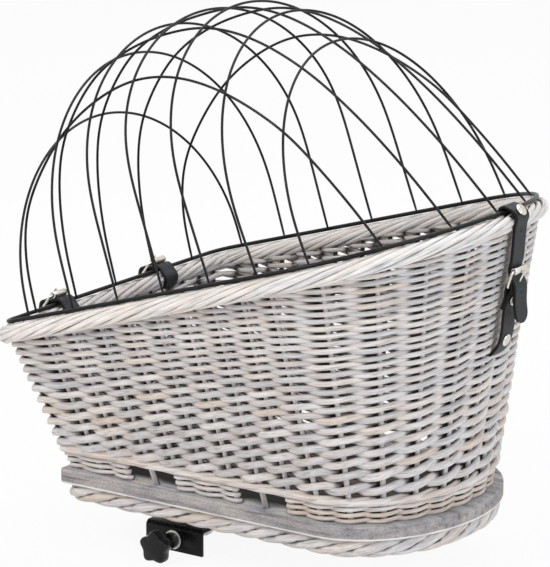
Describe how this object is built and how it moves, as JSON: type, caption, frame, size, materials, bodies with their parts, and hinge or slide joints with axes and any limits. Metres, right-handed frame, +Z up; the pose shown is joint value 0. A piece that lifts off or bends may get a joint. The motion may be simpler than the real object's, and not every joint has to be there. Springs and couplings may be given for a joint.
{
  "type": "bicycle carrier pet basket",
  "caption": "Woven willow tub on a wooden base with a hinged domed wire lid, buckled leather straps and a screw clamp under it for a bicycle's luggage carrier.",
  "frame": {"origin": "middle of the underside of the clamp bracket's plate, where the basket sits on the luggage carrier", "axes": "+X towards the tall rounded end with the closing strap, -X towards the lid's hinge, +Y away from the clamp knob, +Z up"},
  "size_m": [0.4264, 0.33, 0.4579],
  "materials": {
    "willow": "grey-washed peeled willow, matt",
    "plywood": "grey-washed, worn",
    "black_wire": "satin coated wire",
    "leather": "smooth, edge-stitched",
    "bright_steel": "plated",
    "black_steel": "satin coated",
    "black_plastic": "moulded",
    "zinc_steel": "zinc plated"
  },
  "bodies": {
    "basket": {"base_board": "plywood", "foot_border": "willow", "board_screw_1": "zinc_steel", "board_screw_2": "zinc_steel", "board_screw_3": "zinc_steel", "board_screw_4": "zinc_steel", "band_hinge_end": "willow", "band_near_middle": "willow", "band_far_middle": "willow", "band_round_end": "willow", "slot_stake_near_1": "willow", "slot_stake_far_1": "willow", "slot_stake_near_2": "willow", "slot_stake_far_2": "willow", "wicker_wall": "willow", "rim_border": "willow", "hinge_strap_near": "leather", "hinge_strap_far": "leather", "hinge_near_buckle": "bright_steel", "hinge_far_buckle": "bright_steel", "closing_strap_lower": "leather", "closing_rivet_middle": "bright_steel", "closing_rivet_lower": "bright_steel", "closing_buckle": "bright_steel", "clamp_bracket": "black_steel", "clamp_block": "plywood", "clamp_screw_1": "zinc_steel", "clamp_screw_2": "zinc_steel", "clamp_screw_3": "zinc_steel", "clamp_screw_4": "zinc_steel", "clamp_nut": "zinc_steel"},
    "lid": {"lid_ring": "black_wire", "cross_hoop_1": "black_wire", "cross_hoop_2": "black_wire", "cross_hoop_3": "black_wire", "cross_hoop_4": "black_wire", "cross_hoop_5": "black_wire", "cross_hoop_6": "black_wire", "cross_hoop_7": "black_wire", "long_hoop_1": "black_wire", "long_hoop_2": "black_wire", "long_hoop_3": "black_wire", "long_hoop_4": "black_wire", "long_hoop_5": "black_wire"},
    "closing_strap": {"closing_strap_upper": "leather", "closing_rivet_upper": "bright_steel"},
    "closing_roller": {"closing_roller": "bright_steel"},
    "hinge_near_roller": {"hinge_near_roller": "bright_steel"},
    "hinge_far_roller": {"hinge_far_roller": "bright_steel"},
    "closing_tongue": {"closing_tongue": "bright_steel"},
    "hinge_near_tongue": {"hinge_near_tongue": "bright_steel"},
    "hinge_far_tongue": {"hinge_far_tongue": "bright_steel"},
    "clamp_slider": {"clamp_pad": "zinc_steel", "clamp_washer": "zinc_steel"},
    "clamp_knob": {"clamp_knob": "black_plastic", "clamp_stud": "zinc_steel"}
  },
  "joints": [
    {"name": "lid_hinge", "type": "hinge", "parent": "basket", "child": "lid", "pos_m": [-0.1247, 0, 0.174], "axis": [0, -1, 0], "range_deg": [0, 110], "deforming": ["closing_strap_upper"]},
    {"name": "closing_strap_swing", "type": "hinge", "parent": "lid", "child": "closing_strap", "pos_m": [0.26627, 0.011, 0.2913], "axis": [0, 1, 0], "range_deg": [0, 110], "deforming": ["closing_strap_upper"]},
    {"name": "closing_roller_spin", "type": "hinge", "parent": "basket", "child": "closing_roller", "pos_m": [0.27654, 0.011, 0.2438], "axis": [0, 1, 0], "continuous": true},
    {"name": "closing_tongue_turn", "type": "hinge", "parent": "basket", "child": "closing_tongue", "pos_m": [0.27231, 0.011, 0.22993], "axis": [0, 1, 0], "range_deg": [0, 25]},
    {"name": "hinge_near_roller_spin", "type": "hinge", "parent": "basket", "child": "hinge_near_roller", "pos_m": [-0.12859, -0.06994, 0.18118], "axis": [0, 1, 0], "continuous": true},
    {"name": "hinge_near_tongue_turn", "type": "hinge", "parent": "basket", "child": "hinge_near_tongue", "pos_m": [-0.1374, -0.06994, 0.16966], "axis": [0, -1, 0], "range_deg": [0, 16]},
    {"name": "hinge_far_roller_spin", "type": "hinge", "parent": "basket", "child": "hinge_far_roller", "pos_m": [-0.12859, 0.06994, 0.18118], "axis": [0, 1, 0], "continuous": true},
    {"name": "hinge_far_tongue_turn", "type": "hinge", "parent": "basket", "child": "hinge_far_tongue", "pos_m": [-0.1374, 0.06994, 0.16966], "axis": [0, -1, 0], "range_deg": [0, 16]},
    {"name": "clamp_slide", "type": "slide", "parent": "basket", "child": "clamp_slider", "axis": [0, -1, 0], "range_m": [0, 0.03125]},
    {"name": "clamp_knob_turn", "type": "hinge", "parent": "clamp_slider", "child": "clamp_knob", "pos_m": [0, -0.07255, -0.0095], "axis": [0, -1, 0], "range_deg": [0, 9000]}
  ],
  "couplings": [
    {"joint": "closing_strap_swing", "follows": "lid_hinge", "ratio": 1},
    {"joint": "clamp_knob_turn", "follows": "clamp_slide", "rad_per_m": 5026.5}
  ]
}
